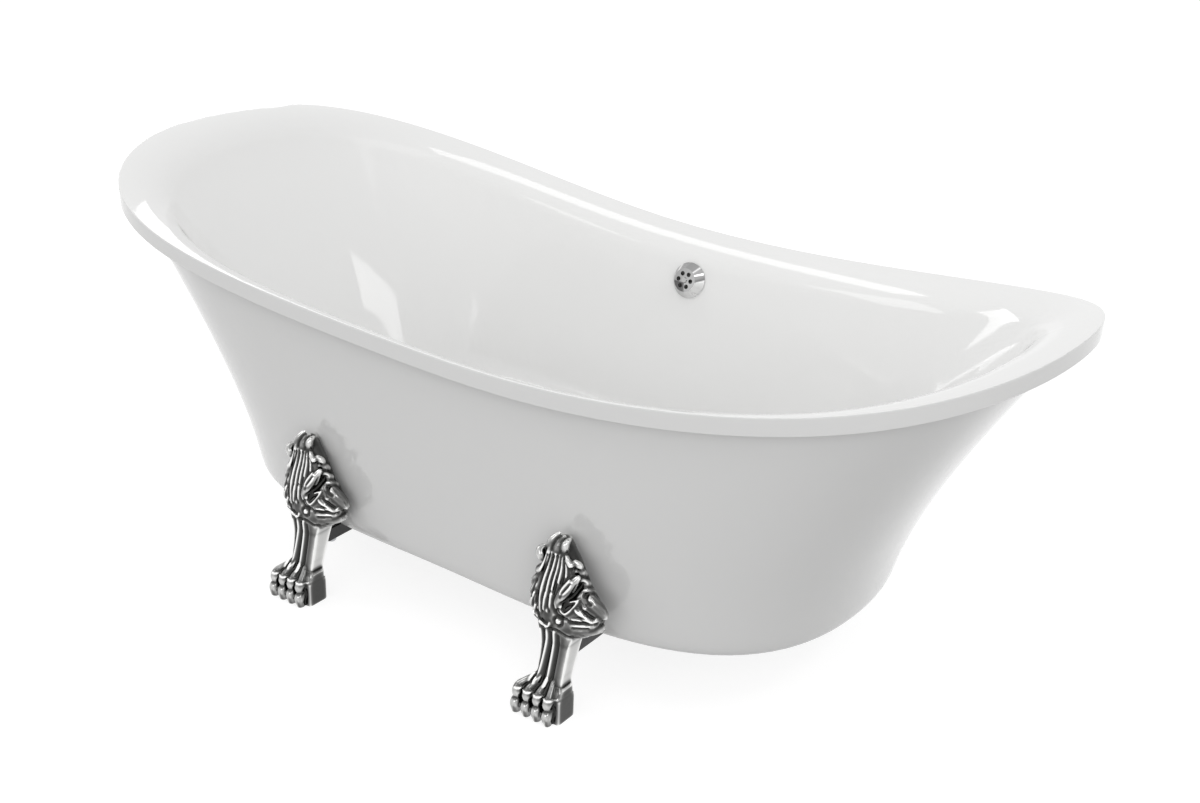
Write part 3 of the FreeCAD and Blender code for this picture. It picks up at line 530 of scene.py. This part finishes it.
def add_form(form, part):
    """Puts one form's faces into another and lets the first go."""
    mesh = bpy.data.meshes.new("part")
    part.to_mesh(mesh)
    part.free()
    form.from_mesh(mesh)
    bpy.data.meshes.remove(mesh)


def smooth_run(points, steps=8):
    """A smooth run through a few given points, whatever they hold."""
    given = np.array(points, float)
    given = np.vstack([2 * given[0] - given[1], given, 2 * given[-1] - given[-2]])
    run = []
    for a, b, c, d in zip(given, given[1:], given[2:], given[3:]):
        for t in np.arange(steps) / steps:
            run.append(0.5 * (2 * b + (c - a) * t + (2 * a - 5 * b + 4 * c - d) * t * t
                              + (3 * b - a - 3 * c + d) * t ** 3))
    run.append(given[-2])
    return np.array(run)


def round_member(form, points):
    """Adds a round member of changing thickness as closely set balls."""
    member = bmesh.new()
    for x, y, z, radius in smooth_run(points):
        bmesh.ops.create_icosphere(member, subdivisions=2, radius=max(radius, 1.0),
                                   matrix=Matrix.Translation((x, y, z)))
    add_form(form, member)


def toe_members(place, root):
    """One toe: its tendon from the leg, its two joints and its claw."""
    lean = (place - LEVELLER_X) / TOE_SPREAD
    knuckle = place + lean
    claw = place + 2 * lean
    return (
        ((root, -8, 66, 4.5), (root + (place - root) * 0.5, -14, 56, 5.5), (place, -21, 46, 6.5)),
        ((place, -15, 43, 8.4), (place, -22, 41, 9.2), (place, -27, 36, 8.0), (place, -26, 29, 6.4)),
        ((knuckle, -22, 25, 7.4), (knuckle, -28.2, 18, 9.0), (knuckle, -28.6, 12, 8.2),
         (knuckle, -27, 5, 6.6), (knuckle, -25.5, -2, 5.6)),
        ((claw, -34, 17, 2.6), (claw, -35.4, 10, 2.3), (claw, -34, 2, 1.8)))


def foot_mass():
    """The whole casting before it is carved, as overlapping closed forms."""
    form = bmesh.new()
    for sections, corner in ((LEG_SECTIONS, 0.13), (LEAF_SECTIONS, 0.36), (HEEL_SECTIONS, 0.07),
                             (INSTEP_SECTIONS, 0.2), (LUG_SECTIONS, 0.12)):
        rounded_tower(form, sections, corner)
    for member in (BUD_LEFT_PETAL, BUD_MIDDLE, BUD_RIGHT_PETAL, CURL_STEM, UPPER_KNOB, BROW, CHEEK, SNOUT,
                   LOWER_LIP, CHIN, *RIGHT_KNOBS, *EDGE_LOBES):
        round_member(form, member)
    for place, root in zip(TOE_PLACES, TOE_ROOTS):
        for member in toe_members(place, root):
            round_member(form, member)
    return form


def shaped_mesh(form, name, modifiers):
    """The mesh a form becomes once its modifiers are applied."""
    rough = bpy.data.meshes.new(name + "_rough")
    form.to_mesh(rough)
    form.free()
    carrier = link(bpy.data.objects.new(name + "_rough", rough))
    for kind, settings in modifiers:
        modifier = carrier.modifiers.new(kind.lower(), kind)
        for label, value in settings.items():
            setattr(modifier, label, value)
    ready = carrier.evaluated_get(bpy.context.evaluated_depsgraph_get())
    mesh = bpy.data.meshes.new_from_object(ready)
    mesh.name = name
    bpy.data.objects.remove(carrier)
    bpy.data.meshes.remove(rough)
    return mesh


def read_points(mesh):
    """The places of a mesh's points as rows."""
    places = np.empty(len(mesh.vertices) * 3)
    mesh.vertices.foreach_get("co", places)
    return places.reshape(-1, 3)


def read_normals(mesh):
    """The directions in which a mesh's points face."""
    facing = np.empty(len(mesh.vertices) * 3, np.float32)
    mesh.vertex_normals.foreach_get("vector", facing)
    return facing.reshape(-1, 3).astype(float)


def write_points(mesh, places):
    """Moves a mesh's points."""
    mesh.vertices.foreach_set("co", places.ravel())
    mesh.update()


def neighbour_ends(mesh):
    """The two ends of every edge."""
    ends = np.empty(len(mesh.edges) * 2, np.int32)
    mesh.edges.foreach_get("vertices", ends)
    return ends.reshape(-1, 2)


def relaxed(places, ends, rounds, share):
    """Points drawn towards the middle of their neighbours."""
    size = len(places)
    count = np.bincount(ends.ravel(), minlength=size).astype(float)[:, None]
    for _ in range(rounds):
        total = np.zeros_like(places)
        for column in range(places.shape[1]):
            for here, there in ((0, 1), (1, 0)):
                given = places[ends[:, there], column]
                total[:, column] += np.bincount(ends[:, here], weights=given, minlength=size)
        places = places + share * (total / count - places)
    return places


def distance_to_line(points, line):
    """How far each point is from a broken line."""
    nearest = np.full(len(points), 1e9)
    for start, end in zip(line, line[1:]):
        along = end - start
        share = np.clip(((points - start) @ along) / max(along @ along, 1e-9), 0, 1)
        gap = points - (start + share[:, None] * along)
        nearest = np.minimum(nearest, np.sqrt((gap * gap).sum(axis=1)))
    return nearest


def carve_lines(mesh, lines):
    """Raises ridges and cuts grooves along lines drawn on the front."""
    places = read_points(mesh)
    facing = read_normals(mesh)
    least, full = CARVED_FACING
    front = np.clip((-facing[:, 1] - least) / (full - least), 0, 1)
    front *= places[:, 1] < CARVED_DEPTH
    lift = np.zeros(len(places))
    flat = places[:, (0, 2)]
    for height, half_width, line in lines:
        run = smooth_run(line, 5)
        low = run.min(axis=0) - 3 * half_width
        high = run.max(axis=0) + 3 * half_width
        near = np.where(((flat > low) & (flat < high)).all(axis=1))[0]
        away = distance_to_line(flat[near], run)
        lift[near] += height * np.exp(-(away / half_width) ** 2) * front[near]
    write_points(mesh, places + facing * lift[:, None])


def bore_cutter():
    """What is bored out of a foot."""
    cutter = bmesh.new()
    outline = (
        (0, BELOW_FOOT), (PAD_RECESS_RADIUS, BELOW_FOOT), (PAD_RECESS_RADIUS, PAD_RECESS_TOP),
        (LEVELLER_HOLE_RADIUS, PAD_RECESS_TOP), (LEVELLER_HOLE_RADIUS, LEVELLER_HOLE_TOP),
        (0, LEVELLER_HOLE_TOP))
    corners = [cutter.verts.new((radius, 0, height)) for radius, height in outline]
    edges = [cutter.edges.new(pair) for pair in zip(corners, corners[1:])]
    bmesh.ops.spin(cutter, geom=corners + edges, cent=(0, 0, 0), axis=(0, 0, 1), angle=2 * math.pi,
                   steps=40, use_merge=True)
    bmesh.ops.remove_doubles(cutter, verts=cutter.verts[:], dist=WELD_DISTANCE)
    bmesh.ops.translate(cutter, vec=(LEVELLER_X, 0, 0), verts=cutter.verts[:])
    bmesh.ops.create_cone(cutter, cap_ends=True, segments=32, radius1=STUD_HOLE_RADIUS,
                          radius2=STUD_HOLE_RADIUS, depth=STUD_HOLE_DEPTH,
                          matrix=Matrix.Translation(STUD_HOLE_MIDDLE))
    bmesh.ops.recalc_face_normals(cutter, faces=cutter.faces[:])
    return cutter


def carve_foot():
    """One foot in its own frame, in millimetres, with its bores cut."""
    remesh = ("REMESH", {"mode": "VOXEL", "voxel_size": CARVING_GRAIN})
    mesh = shaped_mesh(foot_mass(), "foot_mass", [remesh])
    ends = neighbour_ends(mesh)
    write_points(mesh, relaxed(read_points(mesh), ends, *MASS_SMOOTHING))
    carve_lines(mesh, CARVED_LINES)
    places = relaxed(read_points(mesh), ends, *CARVING_SMOOTHING)
    places[:, 1] = np.maximum(places[:, 1], FRONT_LIMIT)
    write_points(mesh, places)
    form = bmesh.new()
    form.from_mesh(mesh)
    bpy.data.meshes.remove(mesh)
    cut = bmesh.ops.bisect_plane(form, geom=form.verts[:] + form.edges[:] + form.faces[:],
                                 dist=WELD_DISTANCE, plane_co=(0, 0, SOLE_HEIGHT), plane_no=(0, 0, 1),
                                 clear_inner=True)
    rim = [item for item in cut["geom_cut"] if isinstance(item, bmesh.types.BMEdge)]
    bmesh.ops.holes_fill(form, edges=rim, sides=0)
    cutter_mesh = bpy.data.meshes.new("bores")
    cutter = bore_cutter()
    cutter.to_mesh(cutter_mesh)
    cutter.free()
    tool = link(bpy.data.objects.new("bores", cutter_mesh))
    bore = ("BOOLEAN", {"operation": "DIFFERENCE", "solver": "EXACT", "object": tool})
    bored = shaped_mesh(form, "foot_carving", [bore])
    bpy.data.objects.remove(tool)
    bpy.data.meshes.remove(cutter_mesh)
    return bored


def skirt_surface():
    """A finder for the skirt's outer face."""
    skirt = NODES["outer_shell"].data
    return BVHTree.FromPolygons([v.co for v in skirt.vertices], [p.vertices for p in skirt.polygons])


def rest_on_skirt(places, skirt, side):
    """Holds a foot's points clear of the skirt that they lie against."""
    for number in np.where((places[:, 2] > SKIRT_LOWEST) & (side * places[:, 1] < SKIRT_FARTHEST_Y))[0]:
        x, y, z = places[number]
        hit = skirt.ray_cast(Vector((x, side * OUTSIDE_Y, z)), Vector((0, -side, 0)))[0]
        if hit is not None and side * y < side * hit.y + SKIRT_CLEARANCE:
            places[number, 1] = hit.y + side * SKIRT_CLEARANCE
    return places


# How bright the casting's colour is painted: a plain dark tone everywhere, a painted highlight where a
# point stands proud and painted shade where it sits in a hollow, and a painted reflection on the leg's flat
# sides.
# Relief and heights are in metres.
PLAIN_CHROME_TONE = 0.24
PROUD_PAINTED_HIGHLIGHT = 0.20
SIDE_FLAT_PAINTED_REFLECTION = 0.42
BROAD_RELIEF = 0.0011
FINE_RELIEF = 0.00025
SIDE_FACING = (0.75, 0.95)
LEG_BOTTOM = 0.055
LEG_TOP = 0.142


def add_painted_light_level(mesh, facing, places, ends):
    """Stores how bright each point's colour is painted: painted highlights where it is proud of its
    surroundings, painted shade in its hollows, and a painted reflection on the leg's flat sides.
    """
    proud = np.zeros(len(places))
    for rounds, share, relief in ((60, 0.6, BROAD_RELIEF), (8, 0.5, FINE_RELIEF)):
        proud += ((places - relaxed(places, ends, rounds, share)) * facing).sum(axis=1) / relief
    least, full = SIDE_FACING
    side_flat = np.clip((np.abs(facing[:, 0]) - least) / (full - least), 0, 1)
    side_flat *= (places[:, 2] > LEG_BOTTOM) & (places[:, 2] < LEG_TOP)
    # Painted light: proud points get a painted highlight, hollows painted shade and the leg's side flats a
    # painted reflection.
    painted_light_level = np.clip(PLAIN_CHROME_TONE + PROUD_PAINTED_HIGHLIGHT * proud + SIDE_FLAT_PAINTED_REFLECTION * side_flat, 0, 1)
    painted_light_level = relaxed(painted_light_level[:, None], ends, 2, 0.5)[:, 0]
    mesh.attributes.new("painted_light_level", "FLOAT", "POINT").data.foreach_set("value", painted_light_level.astype(np.float32))


def make_feet():
    """The four feet, all from one carving."""
    carving = carve_foot()
    skirt = skirt_surface()
    own = read_points(carving) * 0.001
    ends = neighbour_ends(carving)
    for depth, side in (("front", -1), ("back", 1)):
        for hand, end in (("left", -1), ("right", 1)):
            places = own * (-side, -side, 1) + (end * FOOT_X, side * FOOT_Y, 0)
            places = rest_on_skirt(places, skirt, side)
            mesh = carving.copy()
            mesh.name = "foot_%s_%s_carved" % (depth, hand)
            write_points(mesh, places)
            mesh.polygons.foreach_set("use_smooth", [True] * len(mesh.polygons))
            add_painted_light_level(mesh, read_normals(mesh), places, ends)
            mesh.materials.clear()
            mesh.materials.append(CAST_CHROME_WITH_PAINTED_LIGHT)
            foot = link(bpy.data.objects.new(mesh.name, mesh))
            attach(foot, "tub")
            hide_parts("foot_%s_%s" % (depth, hand))
    bpy.data.meshes.remove(carving)


make_feet()


# ---------------------------------------------------------------- floor, lights and camera

SURROUND_LIGHT = 0.66
FLOOR_GREY = 0.36
FLOOR_GLOW = 0.82
FLOOR_REACH = 40.0
CAMERA_PLACE = (1.4205, -1.9110, 1.3954)
CAMERA_YAW = 35.2603
CAMERA_PITCH = 24.7387
CAMERA_ROLL = 2.1154
CAMERA_LENS = 46.486
CAMERA_SENSOR = 36.0


def seen_directly(tree):
    """1 for camera, glossy and transmitted rays and 0 for others."""
    path = tree.nodes.new("ShaderNodeLightPath")
    total = path.outputs["Is Camera Ray"]
    for label in ("Is Glossy Ray", "Is Transmission Ray"):
        total = add_maths(tree, "MAXIMUM", total, path.outputs[label])
    return total


def make_world():
    """A white surround to look at, and a soft grey one to light the bath with."""
    world = bpy.data.worlds.new("studio")
    world.use_nodes = True
    bpy.context.scene.world = world
    tree = world.node_tree
    shade = tree.nodes["Background"]
    shade.inputs["Color"].default_value = (1, 1, 1, 1)
    strength = add_range(tree, seen_directly(tree), (0.0, 1.0), (SURROUND_LIGHT, 1.0))
    feed(tree, shade.inputs["Strength"], strength)


def make_floor():
    """A plain pale floor that keeps the bath's shadow."""
    mesh = bpy.data.meshes.new("floor")
    form = bmesh.new()
    bmesh.ops.create_grid(form, x_segments=1, y_segments=1, size=FLOOR_REACH)
    form.to_mesh(mesh)
    form.free()
    floor = link(bpy.data.objects.new("floor", mesh))
    material, shader = start_material("pale_floor", 0.9)
    shader.inputs["Base Color"].default_value = (FLOOR_GREY, FLOOR_GREY, FLOOR_GREY, 1)
    shader.inputs["Specular IOR Level"].default_value = 0.0
    shader.inputs["Emission Color"].default_value = (1, 1, 1, 1)
    tree = material.node_tree
    glow = add_maths(tree, "MULTIPLY", seen_directly(tree), FLOOR_GLOW)
    feed(tree, shader.inputs["Emission Strength"], glow)
    mesh.materials.append(material)


def lamp(name, place, target, width, height, brightness):
    """A soft rectangular lamp that faces a target. Its brightness is that of its own face."""
    data = bpy.data.lights.new(name, "AREA")
    data.shape = "RECTANGLE"
    data.size = width
    data.size_y = height
    data.energy = brightness * math.pi * width * height
    light = link(bpy.data.objects.new(name, data))
    light.location = place
    light.rotation_mode = "QUATERNION"
    light.rotation_quaternion = (Vector(target) - Vector(place)).to_track_quat("-Z", "Y")


def make_camera():
    """The camera, at the photograph's viewing angle."""
    yaw, pitch, roll = (math.radians(a) for a in (CAMERA_YAW, CAMERA_PITCH, CAMERA_ROLL))
    forward = Vector((-math.sin(yaw) * math.cos(pitch), math.cos(yaw) * math.cos(pitch), -math.sin(pitch)))
    level = Vector((math.cos(yaw), math.sin(yaw), 0))
    upward = level.cross(forward)
    right = level * math.cos(roll) + upward * math.sin(roll)
    up = upward * math.cos(roll) - level * math.sin(roll)
    data = bpy.data.cameras.new("camera")
    data.sensor_width = CAMERA_SENSOR
    data.lens = CAMERA_LENS
    camera = link(bpy.data.objects.new("camera", data))
    turn = Matrix((right, up, -forward)).transposed().to_4x4()
    camera.matrix_world = Matrix.Translation(CAMERA_PLACE) @ turn
    bpy.context.scene.camera = camera


make_world()
make_floor()
lamp("top_softbox", (0.3, -0.4, 3.2), (0, 0, 0.4), 2.0, 1.4, 0.5)
lamp("back_left_softbox", (-1.35, 0.22, 2.75), (-0.1, 0.35, 0.5), 0.6, 0.9, 2.7)
lamp("back_left_low_softbox", (-2.4, 1.1, 1.5), (0.5, 0.2, 0.5), 1.5, 0.9, 2.1)
lamp("right_strip", (1.85, 0.25, 2.2), (-0.5, 0.1, 0.35), 1.5, 0.45, 2.6)
lamp("front_softbox", (0.3, -3.4, 1.3), (0, 0, 0.35), 2.2, 1.4, 1.2)
lamp("left_front_softbox", (-2.6, -1.6, 2.2), (0, 0, 0.5), 1.2, 1.2, 1.6)
lamp("right_front_softbox", (2.3, -2.3, 2.0), (0, 0, 0.5), 1.3, 1.3, 2.4)
make_camera()
bpy.context.scene.view_settings.view_transform = "Standard"
